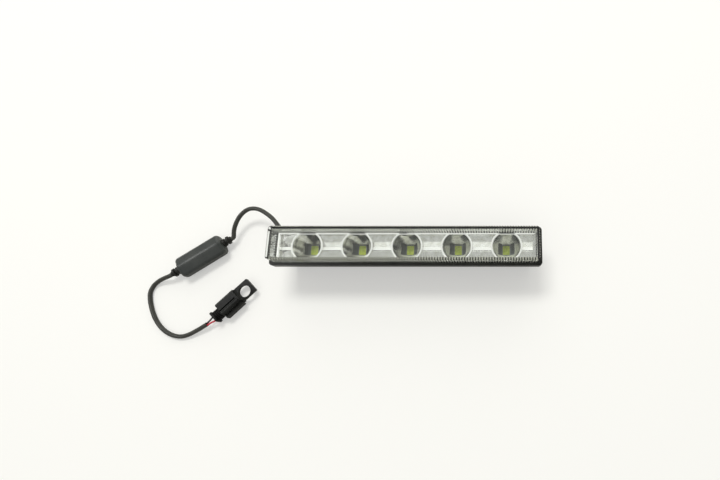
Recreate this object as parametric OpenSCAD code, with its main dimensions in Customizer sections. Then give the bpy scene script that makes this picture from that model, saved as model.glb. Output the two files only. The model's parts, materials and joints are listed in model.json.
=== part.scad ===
// Daytime running light: a slim bar with five light cups behind a clear fluted lens.
// Its cord runs through a small inline driver to a sealed connector with a fixing eye.
// The bar lies on its back. The origin is the middle of its back face,
// X runs along the bar and Z points out of the lens.

/* [Lamp] */
// Length of the front flange
lamp_len = 180.2; // [174:0.1:215]
// Height of the front flange
lamp_h = 26.3; // [25.2:0.1:29]
// Thickness of the front flange
flange_t = 5.5; // [4.5:0.1:7]
// Radius of the flange corners
flange_r = 2.4; // [1:0.1:4]
// Width of the flange that shows outside the lens
flange_rim = 2.1; // [1.4:0.1:2.6]

/* [Housing] */
// Wall of the housing
wall = 1.8; // [1.4:0.1:2.2]
// Thickness of the floor over the cooling fins
floor_t = 2.4; // [1.6:0.1:4]
// Length of the cooling fins, front to back
fin_d = 4.5; // [3:0.1:7]
// Distance from one fin to the next
fin_pitch = 6.4; // [5:0.1:9]
// Gap between two fins
fin_gap = 4; // [2:0.1:4.4]
// Height over the back at which the sloping sides end
slope_z = 14; // [12:0.5:18]
// How far the back face stays inside the widest part, on each side
slope_in = 3.2; // [1:0.1:3.6]
// Size of the cut-off corner that carries the cord outlet
outlet_cut = 10; // [9:0.1:12]
// Height of the pedestal that carries the circuit board
land_t = 3.2; // [2:0.1:5]
// Width of that pedestal
land_w = 12; // [8:0.5:13]

/* [Lens] */
// How far the lens stands out of the flange
lens_out = 11; // [8:0.1:14]
// Depth of the lens foot below the flange face
lens_foot = 2.8; // [2:0.1:3.4]
// Thickness of the lens front
lens_t = 2; // [1.2:0.1:3]
// Wall of the lens, flutes not counted
lens_wall = 1.4; // [1.1:0.1:1.8]
// Radius of the lens corners
lens_r = 2.4; // [1.9:0.1:4]
// Bevel around the lens front
lens_bevel = 0.6; // [0.3:0.1:1]
// Distance from one flute to the next
flute_pitch = 1.75; // [1.4:0.05:3.5]
// Depth of a flute
flute_d = 0.45; // [0.2:0.05:0.6]
// Thickness of the seal under the lens foot
seal_t = 0.8; // [0.5:0.1:1]

/* [Reflector] */
// Distance from one light cup to the next
cup_pitch = 33.3; // [30:0.1:36]
// Radius of a cup at its rim
cup_r = 9.5; // [9:0.1:11]
// Radius of the hole at the bottom of a cup
cup_hole_r = 5.1; // [5:0.05:6]
// Distance from the flange face down to the cup rims
cup_drop = 1.6; // [1.2:0.1:2.4]
// Half the width across the flats that cut a cup off above and below
cup_flat = 8.1; // [7.4:0.1:8.3]
// Wall of the reflector
foil_t = 1.1; // [0.8:0.1:1.4]
// Depth of the trough between the cups, under the rims
trough_d = 3; // [1.5:0.1:3.6]
// Room between the reflector and the lens wall
foil_gap = 0.5; // [0.3:0.1:1]

/* [Board] */
// Length of the circuit board
board_len = 154; // [148:0.5:156]
// Width of the circuit board
board_w = 15; // [13:0.5:15.5]
// Thickness of the circuit board
board_t = 1.6; // [1:0.1:2]
// Thickness of the heat pad under the board
pad_t = 0.5; // [0.3:0.1:1]
// Width of a light emitter, along the lamp
led_w = 6; // [5:0.1:6.2]
// Height of a light emitter, across the lamp
led_h = 7.6; // [6:0.1:7.8]
// Thickness of a light emitter
led_t = 1.6; // [1:0.1:2.2]
// White border around the yellow part of an emitter
led_border = 0.6; // [0.4:0.1:1.2]
// Shank radius of the board screws
screw_r = 1.2; // [1:0.05:1.4]
// Head radius of the board screws
screw_head_r = 2.2; // [1.9:0.1:2.8]
// Head height of the board screws
screw_head_t = 1.6; // [1:0.1:2]

/* [Mounting] */
// Distance of the two threaded holes in the back from the middle
mount_x = 60; // [50:0.5:70]
// Core radius of the threaded holes
mount_r = 2.1; // [1.6:0.05:2.6]
// Depth of the threaded holes
mount_depth = 6; // [4:0.1:7]

/* [Cord] */
// Diameter of the cord
cord_d = 3; // [2.5:0.1:3.2]
// Diameter of a single wire
wire_d = 1.2; // [1:0.05:1.4]
// Height of the cord outlet over the back
outlet_z = 15; // [14:0.5:17]
// Reach of the outlet sleeve along X, and the same along Y
outlet_step = 5.6; // [4:0.1:7]
// Radius of the hole for the outlet grommet
grommet_r = 2.8; // [2.4:0.1:3.2]

/* [Driver] */
// Length of the driver case
driver_len = 34; // [32:0.5:42]
// Width of the driver case
driver_w = 15; // [14:0.1:19]
// Thickness of the driver case
driver_t = 11; // [10:0.1:13]
// Wall of the driver case
driver_wall = 1.4; // [1:0.1:1.8]
// Rounding along the driver case
driver_r = 4.2; // [3:0.1:4.8]
// Length of a strain relief outside the driver case
relief_len = 6; // [5:0.1:9]
// Radius of the widest ring of a strain relief
relief_r = 3.05; // [2.7:0.05:3.6]

/* [Connector] */
// Length of the connector body
plug_len = 14.8; // [13:0.1:20]
// Width of the connector body
plug_w = 10.4; // [9.6:0.1:13]
// Thickness of the connector body without its ridge
plug_t = 9; // [8.4:0.1:11]
// Length of the ribbed seal behind the body
seal_len = 5.2; // [4:0.1:8]
// Radius of the ribbed seal
seal_r = 3.95; // [3.5:0.05:4.1]
// Length of the fixing eye in front of the body
eye_len = 11.4; // [10.5:0.1:16]
// Width of the fixing eye
eye_w = 11.5; // [10.6:0.1:13]
// Thickness of the fixing eye
eye_t = 2.4; // [1.6:0.1:3.2]
// Radius of the hole in the fixing eye
eye_r = 4.15; // [3:0.05:4.4]

/* [Hidden] */
$fn = 64;

// Names of the separate pieces

// A small step that lets a cut run clear of the face it opens
over = 1;
// Clearance between two pieces that slide into each other
fit = 0.15;
// Clearance of a screw or a pin in its hole
slip = 0.05;

// Heights over the back, from the floor up to the lens
floor_z = fin_d + floor_t;
land_z = floor_z + land_t;
board_z = land_z + pad_t;
board_top = board_z + board_t;
led_z = board_top + led_t;
flange_z = led_z + 16.2;
flange_back = flange_z - flange_t;
front_z = flange_z + lens_out;
foot_z = flange_z - lens_foot;
ledge_z = foot_z - seal_t;
rim_z = flange_z - cup_drop;

// Half sizes of the lens, the housing behind the flange and its cavity
lens_x = lamp_len / 2 - flange_rim;
lens_y = lamp_h / 2 - flange_rim;
body_x = lens_x - 0.5;
body_y = lens_y + 0.1;
cavity_x = body_x - wall;
cavity_y = body_y - wall;

// Half sizes of the reflector: its rim, and the part that goes down into the cavity
foil_x = lens_x - lens_wall - foil_gap;
foil_y = lens_y - lens_wall - foil_gap;
tub_x = min(foil_x, cavity_x - 0.2) - 0.2;
tub_y = cup_flat + foil_t - 0.1;

// The parabola of a cup: its focus lies on the emitter, and it reaches cup_r at the rim
cup_depth = rim_z - led_z;
focus = (sqrt(cup_depth * cup_depth + cup_r * cup_r) - cup_depth) / 2;
vertex_z = led_z - focus;
hole_z = vertex_z + cup_hole_r * cup_hole_r / (4 * focus);
cup_count = 5;
cup_xs = [for (i = [0 : cup_count - 1]) (i - (cup_count - 1) / 2) * cup_pitch];
screw_xs = [for (i = [0 : cup_count - 2]) (i - (cup_count - 2) / 2) * cup_pitch];
curve_steps = 16;

// The trough: its border has a flat rim, a bevel and a ledge before the sloping flanks
rim_w = 0.6;
bevel_w = 0.4;
ledge_w = 0.5;
step_w = 0.2;
step_drop = 0.6;
flank_y = foil_y - rim_w - bevel_w - ledge_w - step_w;
flank_z = rim_z - bevel_w - step_drop;
trough_z = rim_z - trough_d;

// The outlet on the cut-off corner
outlet_x = -body_x + outlet_cut / 2;
outlet_y = body_y - outlet_cut / 2;
outlet_turn = 135;
outlet_dir = [cos(outlet_turn), sin(outlet_turn), 0];
outlet_reach = outlet_step * sqrt(2);
outlet_tip = [outlet_x, outlet_y, outlet_z] + outlet_reach * outlet_dir;
grommet_flange_t = 1.2;
grommet_in_t = 1;

// Where the driver lies, and the tips of its strain reliefs
driver_at = [-150.3, -2.4, driver_t / 2];
driver_turn = 34;
driver_dir = [cos(driver_turn), sin(driver_turn), 0];
driver_end = driver_len / 2 + relief_len;
driver_tip_in = driver_at + driver_end * driver_dir;
driver_tip_out = driver_at - driver_end * driver_dir;
split_gap = 0.02;

// Where the connector lies: its X runs from the wires to the eye
plug_at = [-135.7, -45.7, plug_t / 2];
plug_turn = 45.5;
cap_t = 1.2;
seal_x = cap_t;
plug_x = seal_x + seal_len;
eye_x = plug_x + plug_len;
wire_y = 1.5;
plug_dir = [cos(plug_turn), sin(plug_turn), 0];
plug_side = [-sin(plug_turn), cos(plug_turn), 0];

// The route of the cord from the lamp to the driver: hand-set points between its two ends
lamp_route = concat(
    [outlet_tip, outlet_tip + 3 * outlet_dir],
    [[-94.2, 18.3, 15], [-98.6, 23.1, 14.5], [-103.4, 26.8, 14], [-108.5, 29.7, 13.5],
     [-113.3, 30.9, 13], [-117.9, 30.5, 12], [-121.8, 28.3, 11], [-125, 24.8, 10],
     [-127.6, 19.9, 8.6], [-129, 15.8, 7]],
    [driver_tip_in + 2 * driver_dir, driver_tip_in]);

// The route of the cord from the driver to the place where its two wires part
plug_route = concat(
    [driver_tip_out, driver_tip_out - 2.5 * driver_dir],
    [[-175.8, -18, 4.2], [-180.4, -19.9, 2.6], [-184.1, -23, 1.6], [-185.8, -27.6, 1.5],
     [-185.2, -32.6, 1.5], [-183.6, -37.6, 1.5], [-181.3, -42.8, 1.5], [-178.2, -47.8, 1.5],
     [-174.3, -52.2, 1.5], [-169.7, -55.6, 1.5], [-164.6, -57.8, 1.5], [-159.2, -58.4, 1.6],
     [-154, -57.1, 2.1], [-149.2, -54.8, 2.8], [-144.6, -52.3, 3.6], [-141, -50.1, 4.2]]);
parting = plug_route[len(plug_route) - 1];
parting_dir = unit(parting - plug_route[len(plug_route) - 2]);
parting_side = across(plug_route, len(plug_route) - 1);

// The two wires between the end of the cord and the connector
wire_start = 0.7;
wire_black_end = plug_at + wire_y * plug_side;
wire_red_end = plug_at - wire_y * plug_side;
wire_black_route = [
    parting - wire_start * parting_side, parting - wire_start * parting_side + 1.2 * parting_dir,
    [-139, -47.4, 4.5], wire_black_end - 1.6 * plug_dir, wire_black_end];
wire_red_route = [
    parting + wire_start * parting_side, parting + wire_start * parting_side + 1.2 * parting_dir,
    [-138, -49, 4.5], wire_red_end - 1.6 * plug_dir, wire_red_end];

// The two leads inside the lamp, from the grommet to the end of the circuit board
lead_side = [cos(outlet_turn - 90), sin(outlet_turn - 90), 0];
lead_from = [outlet_x, outlet_y, outlet_z] - (wall + grommet_in_t) * outlet_dir;
pad_x = -board_len / 2 + 1.5;
pad_y = 2;
inner_red_route = [
    lead_from + 0.9 * lead_side, lead_from + 0.9 * lead_side - 1.2 * outlet_dir,
    [pad_x - 1.2, pad_y + 0.6, (outlet_z + board_top) / 2 + 0.4],
    [pad_x, pad_y, board_top + wire_d / 2 + 0.3], [pad_x + 2, pad_y - 0.2, board_top + wire_d / 2]];
inner_black_route = [
    lead_from - 0.9 * lead_side, lead_from - 0.9 * lead_side - 1.2 * outlet_dir,
    [pad_x - 1.6, 0.4 - pad_y, (outlet_z + board_top) / 2 + 0.4],
    [pad_x, -pad_y, board_top + wire_d / 2 + 0.3], [pad_x + 2, 0.2 - pad_y, board_top + wire_d / 2]];

// Length one vector of the same direction
function unit(v) = v / norm(v);

// Direction of a route at point i
function heading(p, i) = unit(p[min(i + 1, len(p) - 1)] - p[max(i - 1, 0)]);

// Sideways and upward directions across a route that never stands upright
function across(p, i) = unit(cross(heading(p, i), [0, 0, 1]));
function above(p, i) = cross(across(p, i), heading(p, i));

// A round tube swept along a route, with one ring of sides at each point
module tube(p, d, sides = 8) {
    r = d / 2;
    n = len(p);
    pts = [for (i = [0 : n - 1], k = [0 : sides - 1])
        p[i] + r * (cos((k + 0.5) * 360 / sides) * across(p, i) + sin((k + 0.5) * 360 / sides) * above(p, i))];
    walls = [for (i = [0 : n - 2], k = [0 : sides - 1], half = [0, 1])
        let (a = i * sides, b = a + sides, m = (k + 1) % sides)
        half == 0 ? [a + k, a + m, b + m] : [a + k, b + m, b + k]];
    ends = [[for (k = [sides - 1 : -1 : 0]) k], [for (k = [0 : sides - 1]) (n - 1) * sides + k]];
    polyhedron(points = pts, faces = concat(walls, ends), convexity = 4);
}

// A flat rectangle with round corners
module rounded(x, y, r) {
    square([x - 2 * r, y], center = true);
    square([x, y - 2 * r], center = true);
    for (sx = [-1, 1], sy = [-1, 1])
        translate([sx * (x / 2 - r), sy * (y / 2 - r)])
            circle(r);
}

// A plate with round corners between two heights
module plate(x, y, r, z0, z1) {
    translate([0, 0, z0])
        linear_extrude(z1 - z0)
            rounded(x, y, r);
}

// Prisms along X and along Y that carry a profile drawn in height
module along_x(len_x) {
    rotate([90, 0, 90])
        linear_extrude(len_x, center = true)
            children();
}

module along_y(len_y) {
    rotate([90, 0, 0])
        linear_extrude(len_y, center = true)
            children();
}

// Profile of the housing behind the flange, half as wide as half, from z0 to z1
module sloped(half, z0, z1) {
    low = half - slope_in * max(0, slope_z - z0) / slope_z;
    polygon([[-low, z0], [low, z0], [half, slope_z], [half, z1], [-half, z1], [-half, slope_z]]);
}

// Everything beyond the cut-off corner, moved inwards by a wall
module beyond_corner(inwards) {
    translate([outlet_x, outlet_y, -over])
        rotate([0, 0, outlet_turn])
            translate([-inwards, -2 * outlet_cut, 0])
                cube([3 * outlet_cut, 4 * outlet_cut, flange_back + over]);
}

// A piece placed on the axis of the outlet, with Z along it
module at_outlet() {
    translate([outlet_x, outlet_y, outlet_z])
        rotate([0, 0, outlet_turn])
            rotate([0, 90, 0])
                children();
}

module rear_housing() {
    fin_count = floor((body_x - slope_in - 4) / fin_pitch);
    color([0.06, 0.06, 0.06])
        difference() {
            union() {
                plate(lamp_len, lamp_h, flange_r, flange_back, flange_z);
                difference() {
                    intersection() {
                        along_x(2 * body_x) sloped(body_y, 0, flange_back);
                        along_y(2 * body_y) sloped(body_x, 0, flange_back);
                    }
                    beyond_corner(0);
                }
            }
            // The cavity, cut off at the same corner
            difference() {
                intersection() {
                    along_x(2 * cavity_x) sloped(cavity_y, floor_z, ledge_z + over);
                    along_y(2 * cavity_y) sloped(cavity_x, floor_z, ledge_z + over);
                }
                beyond_corner(wall);
                translate([0, 0, (floor_z + land_z) / 2])
                    cube([board_len - 4, land_w, land_t], center = true);
            }
            // The seat of the lens
            plate(2 * (lens_x + fit), 2 * (lens_y + fit), lens_r + fit, ledge_z, flange_z + over);
            // The gaps between the cooling fins, with solid metal left at the threaded holes
            for (i = [-fin_count : fin_count])
                if (abs(abs(i * fin_pitch) - mount_x) > mount_r + 2.2 + fin_gap / 2)
                    translate([i * fin_pitch, 0, fin_d / 2 - over / 2])
                        cube([fin_gap, 3 * body_y, fin_d + over], center = true);
            for (sx = [-1, 1])
                translate([sx * mount_x, 0, -over])
                    cylinder(r = mount_r, h = mount_depth + over);
            for (x = screw_xs)
                translate([x, 0, land_z - 3])
                    cylinder(r = screw_r + slip, h = 3 + over);
            at_outlet()
                translate([0, 0, -wall - over])
                    cylinder(r = grommet_r + slip, h = wall + 3 * over);
        }
}

module lens_seal() {
    color([0.03, 0.03, 0.03])
        difference() {
            plate(2 * lens_x, 2 * lens_y, lens_r, ledge_z, foot_z);
            plate(2 * cavity_x + 0.6, 2 * cavity_y + 0.4, 1, ledge_z - over, foot_z + over);
        }
}

// One side of the fluted inner outline of the lens: half steps that alternate in depth
function flute_points(half, count) =
    [for (i = [0 : 2 * count]) [-half + i * half / count, (i % 2) * flute_d]];

// The fluted inner outline, as four toothed sides joined at the corners
module fluted(half_x, half_y) {
    nx = round(2 * half_x / flute_pitch);
    ny = round(2 * half_y / flute_pitch);
    long = flute_points(half_x, nx);
    short = flute_points(half_y, ny);
    polygon(concat(
        [for (p = long) [p[0], -half_y + p[1]]],
        [for (i = [1 : len(short) - 1]) [half_x - short[i][1], short[i][0]]],
        [for (i = [1 : len(long) - 1]) [-long[i][0], half_y - long[i][1]]],
        [for (i = [1 : len(short) - 2]) [-half_x + short[i][1], -short[i][0]]]));
}

// A profile of half width half that rises from z0 to the front, with bevelled shoulders
module bevelled(half, z0) {
    b = lens_bevel;
    polygon([[-half, z0], [half, z0], [half, front_z - b], [half - b, front_z],
             [b - half, front_z], [-half, front_z - b]]);
}

module lens_cover() {
    color([0.85, 0.92, 0.92, 0.35])
        difference() {
            intersection() {
                plate(2 * lens_x, 2 * lens_y, lens_r, foot_z, front_z + over);
                along_x(2 * lens_x + over) bevelled(lens_y, foot_z);
                along_y(2 * lens_y + over) bevelled(lens_x, foot_z);
            }
            translate([0, 0, foot_z - over])
                linear_extrude(front_z - lens_t - foot_z + over)
                    fluted(lens_x - lens_wall, lens_y - lens_wall);
        }
}

// Radius of the cup at a height
function cup_at(z) = sqrt(4 * focus * (z - vertex_z));

// The curve of the cup from its bottom hole to its rim, widened by out
function cup_curve(out) = [for (i = [0 : curve_steps])
    let (z = hole_z + (rim_z - hole_z) * i / curve_steps) [cup_at(z) + out, z]];

// The outside of a cup: a collar at the rim, the bowl and a short tube down to the board
module cup_shell() {
    collar_z = trough_z - foil_t;
    wide = cup_r + 1.3;
    low = [for (p = cup_curve(foil_t)) if (p[1] < collar_z - 1.5) p];
    rotate_extrude()
        polygon(concat([[0, board_top], [cup_hole_r + foil_t, board_top]], low,
            [[wide, collar_z], [cup_r + 0.45, rim_z], [0, rim_z]]));
}

// The space inside a cup
module cup_bore() {
    rotate_extrude()
        polygon(concat([[0, board_top - over], [cup_hole_r, board_top - over]], cup_curve(0),
            [[cup_r, rim_z + over], [0, rim_z + over]]));
}

module trough() {
    y1 = foil_y - rim_w;
    y2 = y1 - bevel_w;
    y3 = y2 - ledge_w;
    half = [[foil_y, rim_z], [y1, rim_z], [y2, rim_z - bevel_w], [y3, rim_z - bevel_w], [flank_y, flank_z]];
    under = [[foil_y, foot_z], [flank_y - 0.2, flank_z - foil_t], [0, trough_z - foil_t]];
    polygon(concat(
        [for (p = half) p],
        [[0, trough_z]],
        [for (i = [len(half) - 1 : -1 : 0]) [-half[i][0], half[i][1]]],
        [for (i = [0 : 1]) [-under[i][0], under[i][1]]],
        [[0, under[2][1]]],
        [for (i = [1 : -1 : 0]) under[i]]));
}

module reflector_bezel() {
    end_t = 1.3;
    color([0.78, 0.78, 0.77])
        difference() {
            union() {
                along_x(2 * tub_x) trough();
                difference() {
                    plate(2 * foil_x, 2 * foil_y, 1, foot_z, rim_z);
                    plate(2 * (tub_x - 0.4), 2 * (foil_y - rim_w), 0.6, foot_z - over, rim_z + over);
                }
                for (sx = [-1, 1])
                    translate([sx * (tub_x - end_t / 2), 0, (trough_z - foil_t + rim_z) / 2])
                        cube([end_t, 2 * flank_y, rim_z - trough_z + foil_t], center = true);
                for (x = cup_xs)
                    translate([x, 0, 0])
                        intersection() {
                            cup_shell();
                            translate([0, 0, rim_z / 2])
                                cube([4 * cup_r, 2 * tub_y, rim_z], center = true);
                        }
            }
            for (x = cup_xs)
                translate([x, 0, 0])
                    intersection() {
                        cup_bore();
                        cube([4 * cup_r, 2 * cup_flat, 4 * rim_z], center = true);
                    }
            beyond_corner(wall + fit);
        }
}

module heat_pad() {
    color([0.55, 0.57, 0.6])
        difference() {
            translate([0, 0, land_z + pad_t / 2])
                cube([board_len - 6, land_w - 0.6, pad_t], center = true);
            for (x = screw_xs)
                translate([x, 0, land_z - over])
                    cylinder(r = screw_r + 0.3, h = pad_t + 2 * over);
        }
}

module circuit_board() {
    color([0.86, 0.87, 0.85])
        difference() {
            plate(board_len, board_w, 1, board_z, board_top);
            for (x = screw_xs)
                translate([x, 0, board_z - over])
                    cylinder(r = screw_r + 0.15, h = board_t + 2 * over);
        }
}

// The white frame of emitter number n, with a shallow well for its yellow part
module led_body(n) {
    color([0.82, 0.83, 0.8])
        translate([cup_xs[n - 1], 0, 0])
            difference() {
                plate(led_w, led_h, 0.5, board_top, led_z);
                plate(led_w - 2 * led_border, led_h - 2 * led_border, 0.8, led_z - 0.5, led_z + over);
            }
}

module led_phosphor(n) {
    color([0.62, 0.68, 0.2])
        translate([cup_xs[n - 1], 0, 0])
            plate(led_w - 2 * led_border, led_h - 2 * led_border, 0.8, led_z - 0.5, led_z + 0.1);
}

module board_screws() {
    color([0.7, 0.7, 0.68])
        for (x = screw_xs)
            translate([x, 0, 0])
                difference() {
                    union() {
                        translate([0, 0, board_top])
                            cylinder(r = screw_head_r, h = screw_head_t);
                        translate([0, 0, land_z - 2.8])
                            cylinder(r = screw_r, h = board_top - land_z + 2.8 + over / 2);
                    }
                    for (turn = [0, 90])
                        translate([0, 0, board_top + screw_head_t])
                            rotate([0, 0, turn])
                                cube([2.4, 0.6, 1.4], center = true);
                }
}

// Small flat resistors beside the screws
module board_resistors() {
    color([0.12, 0.12, 0.13])
        for (x = screw_xs)
            translate([x + screw_head_r + 1.5, board_w / 2 - 3, board_top + 0.3])
                cube([1.6, 3.2, 0.6], center = true);
}

module outlet_grommet() {
    sleeve = outlet_reach - grommet_flange_t;
    rib_r = grommet_r - 0.1;
    tip_r = cord_d / 2 + 0.5;
    color([0.05, 0.05, 0.05])
        at_outlet()
            rotate_extrude()
                polygon([[0, -wall - grommet_in_t], [grommet_r + 0.8, -wall - grommet_in_t],
                    [grommet_r + 0.8, -wall], [grommet_r, -wall], [grommet_r, 0], [grommet_r + 1.2, 0],
                    [grommet_r + 1.2, grommet_flange_t], [rib_r, grommet_flange_t],
                    [rib_r - 0.15, grommet_flange_t + sleeve * 0.25], [tip_r, grommet_flange_t + sleeve * 0.3],
                    [tip_r, grommet_flange_t + sleeve * 0.45], [rib_r - 0.25, grommet_flange_t + sleeve * 0.5],
                    [rib_r - 0.4, grommet_flange_t + sleeve * 0.7], [tip_r, grommet_flange_t + sleeve * 0.75],
                    [tip_r - 0.1, outlet_reach], [0, outlet_reach]]);
}

module lamp_cord() {
    color([0.1, 0.1, 0.08])
        tube(lamp_route, cord_d);
}

module plug_cord() {
    color([0.1, 0.1, 0.08])
        tube(plug_route, cord_d);
}

module wire_red() {
    color([0.7, 0.05, 0.08])
        tube(wire_red_route, wire_d);
}

module wire_black() {
    color([0.06, 0.06, 0.06])
        tube(wire_black_route, wire_d);
}

module inner_lead_red() {
    color([0.7, 0.05, 0.08])
        tube(inner_red_route, wire_d);
}

module inner_lead_black() {
    color([0.06, 0.06, 0.06])
        tube(inner_black_route, wire_d);
}

// The frame of the driver: its middle at the origin, its length along X
module at_driver() {
    translate(driver_at)
        rotate([0, 0, driver_turn])
            children();
}

// The outside of the driver case, grown inwards by inset
module driver_form(inset) {
    x = driver_len - 2 * inset;
    y = driver_w - 2 * inset;
    z = driver_t - 2 * inset;
    r = max(0.5, driver_r - inset);
    intersection() {
        along_x(x) rounded(y, z, r);
        plate(x, y, max(0.4, 3 - inset), -z / 2, z / 2);
        along_y(y) rounded(x, z, max(0.4, 2.6 - inset));
    }
}

// Half of the driver case: up is 1 for the upper half and -1 for the lower one
module driver_half(up) {
    color([0.09, 0.1, 0.1])
        at_driver()
            difference() {
                intersection() {
                    driver_form(0);
                    translate([0, 0, up * (driver_t / 2 + split_gap)])
                        cube([2 * driver_len, 2 * driver_w, driver_t], center = true);
                }
                driver_form(driver_wall);
                rotate([0, 90, 0])
                    cylinder(r = relief_r - 0.7 + slip, h = 2 * driver_len, center = true);
            }
}

module driver_case_upper() {
    driver_half(1);
}

module driver_case_lower() {
    driver_half(-1);
    // Two ledges that carry the board
    color([0.09, 0.1, 0.1])
        at_driver()
            for (sy = [-1, 1])
                translate([0, sy * (driver_w / 2 - driver_wall - 0.7), -driver_t * 0.23 - 0.5])
                    cube([driver_len * 0.5, 1.6, 1], center = true);
}

driver_board_z = -driver_t * 0.23;
driver_board_t = 1.2;

module driver_board() {
    color([0.1, 0.32, 0.16])
        at_driver()
            plate(driver_len - 2 * driver_wall - 3.6, driver_w - 2 * driver_wall - 0.6, 0.5,
                  driver_board_z, driver_board_z + driver_board_t);
}

module driver_inductor() {
    color([0.2, 0.2, 0.2])
        at_driver()
            translate([-driver_len * 0.17, 0, driver_board_z + driver_board_t])
                rotate_extrude()
                    polygon([[0, 0], [3.2, 0], [3.2, 0.8], [2.5, 1], [2.5, 2.8], [3.2, 3], [3.2, 3.8], [0, 3.8]]);
}

module driver_capacitor() {
    color([0.12, 0.14, 0.3])
        at_driver()
            translate([driver_len * 0.12, 0, driver_board_z + driver_board_t])
                cylinder(r = 2.6, h = 4.6);
}

module driver_chip() {
    color([0.05, 0.05, 0.06])
        at_driver()
            translate([driver_len * 0.27, 0, driver_board_z + driver_board_t + 0.75])
                cube([3.6, 4.8, 1.5], center = true);
}

// A strain relief with two rings: its axis is Z, and z = 0 is the end face of the case
module relief() {
    ring_r = relief_r - 0.15;
    neck_r = relief_r - 0.95;
    through_r = relief_r - 0.7;
    s = relief_len / 6;
    rotate_extrude()
        polygon([[0, -driver_wall - 1], [through_r + 0.7, -driver_wall - 1], [through_r + 0.7, -driver_wall - slip],
            [through_r, -driver_wall - slip], [through_r, slip], [ring_r, slip], [ring_r, 1.7 * s],
            [neck_r, 1.9 * s], [neck_r, 3.2 * s], [relief_r, 3.3 * s], [relief_r, 4.6 * s],
            [neck_r, 4.7 * s], [neck_r - 0.2, relief_len], [0, relief_len]]);
}

module driver_relief_in() {
    color([0.06, 0.06, 0.06])
        at_driver()
            translate([driver_len / 2, 0, 0])
                rotate([0, 90, 0])
                    relief();
}

module driver_relief_out() {
    color([0.06, 0.06, 0.06])
        at_driver()
            translate([-driver_len / 2, 0, 0])
                rotate([0, -90, 0])
                    relief();
}

// The frame of the connector: its axis along X, from the wires to the eye
module at_plug() {
    translate(plug_at)
        rotate([0, 0, plug_turn])
            children();
}

module connector_cap() {
    color([0.05, 0.05, 0.05])
        at_plug()
            rotate([90, 0, 90])
                linear_extrude(cap_t)
                    rounded(2 * seal_r + 1.8, 2 * seal_r + 0.7, 1.6);
}

spigot_len = 3;
spigot_r = 3.1;
terminal_r = 1.05;

// The rubber seal: four ribs behind the body and a spigot inside it
module connector_seal() {
    pitch = seal_len / 4;
    ribs = [for (i = [0 : 3], s = [[0, 0], [0.62, 0], [0.7, -0.7], [1, -0.7]])
        [seal_r + s[1], seal_x + (i + s[0]) * pitch]];
    color([0.07, 0.07, 0.07])
        at_plug()
            rotate([0, 90, 0])
                rotate_extrude()
                    polygon(concat([[0, seal_x]], ribs, [[spigot_r, plug_x], [spigot_r, plug_x + spigot_len],
                        [0, plug_x + spigot_len]]));
}

ridge_r = 1.9;
ridge_y = -2.9;
groove_w = 0.9;
latch_gap = 0.7;
latch_w = 2.6;
latch_h = 4.6;
hinge_len = 3;

// The outline of the connector body across its axis, with bevelled long edges
module plug_section() {
    y1 = eye_w / 2;
    y0 = y1 - plug_w;
    z = plug_t / 2;
    polygon([[y0, 0.6 - z], [y0 + 0.6, -z], [y1 - 1, -z], [y1, 1 - z], [y1, z - 1.4],
             [y1 - 1.4, z], [y0 + 0.6, z], [y0, z - 0.6]]);
}

module connector_housing() {
    side = eye_w / 2 - plug_w;
    color([0.06, 0.06, 0.06])
        at_plug()
            difference() {
                union() {
                    translate([plug_x + plug_len / 2, 0, 0])
                        along_x(plug_len) plug_section();
                    translate([plug_x, ridge_y, plug_t / 2 - ridge_r + 0.5])
                        rotate([0, 90, 0])
                            cylinder(r = ridge_r, h = plug_len - 0.6);
                    // The latch beside the body, joined to it at the front
                    translate([plug_x, side - latch_gap - latch_w, -latch_h / 2])
                        cube([plug_len - 0.6, latch_w, latch_h]);
                    translate([plug_x + plug_len - 0.6 - hinge_len, side - latch_gap - over, -latch_h / 2])
                        cube([hinge_len, latch_gap + 2 * over, latch_h]);
                    // The fixing eye and the foot that joins it to the body
                    translate([eye_x + eye_len / 2 - over / 2, 0, -eye_t / 2])
                        linear_extrude(eye_t)
                            rounded(eye_len + over, eye_w, 0.6);
                    translate([eye_x, 0, 0])
                        rotate([90, 0, 0])
                            linear_extrude(2 * plug_w - eye_w, center = true)
                                polygon([[-over, -eye_t], [0, -eye_t], [eye_t / 2, -eye_t / 2],
                                         [eye_t / 2, eye_t / 2], [0, eye_t], [-over, eye_t]]);
                }
                // Two grooves along the top, one on each side of the ridge
                for (sy = [-1, 1])
                    translate([plug_x - over, ridge_y + sy * (ridge_r + groove_w / 2) - groove_w / 2, plug_t / 2 - 1.4])
                        cube([plug_len - 0.6, groove_w, 2 * over]);
                translate([eye_x + eye_len - 6.4, -0.4, -eye_t])
                    cylinder(r = eye_r, h = 2 * eye_t);
                translate([plug_x - over, 0, 0])
                    rotate([0, 90, 0])
                        cylinder(r = spigot_r + slip, h = spigot_len + over);
                for (sy = [-1, 1])
                    translate([plug_x, sy * wire_y, 0])
                        rotate([0, 90, 0])
                            cylinder(r = terminal_r + slip, h = plug_len - 2);
            }
}

// A crimped terminal behind the seal: sy is 1 for the black wire and -1 for the red one
module terminal(sy) {
    color([0.75, 0.65, 0.35])
        at_plug()
            translate([plug_x + spigot_len, sy * wire_y, 0])
                rotate([0, 90, 0])
                    rotate_extrude()
                        polygon([[0, 0], [terminal_r, 0], [terminal_r, 2.2], [0.8, 2.6], [0.8, 4],
                                 [terminal_r, 4.4], [terminal_r, 8], [0, 8]]);
}

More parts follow.
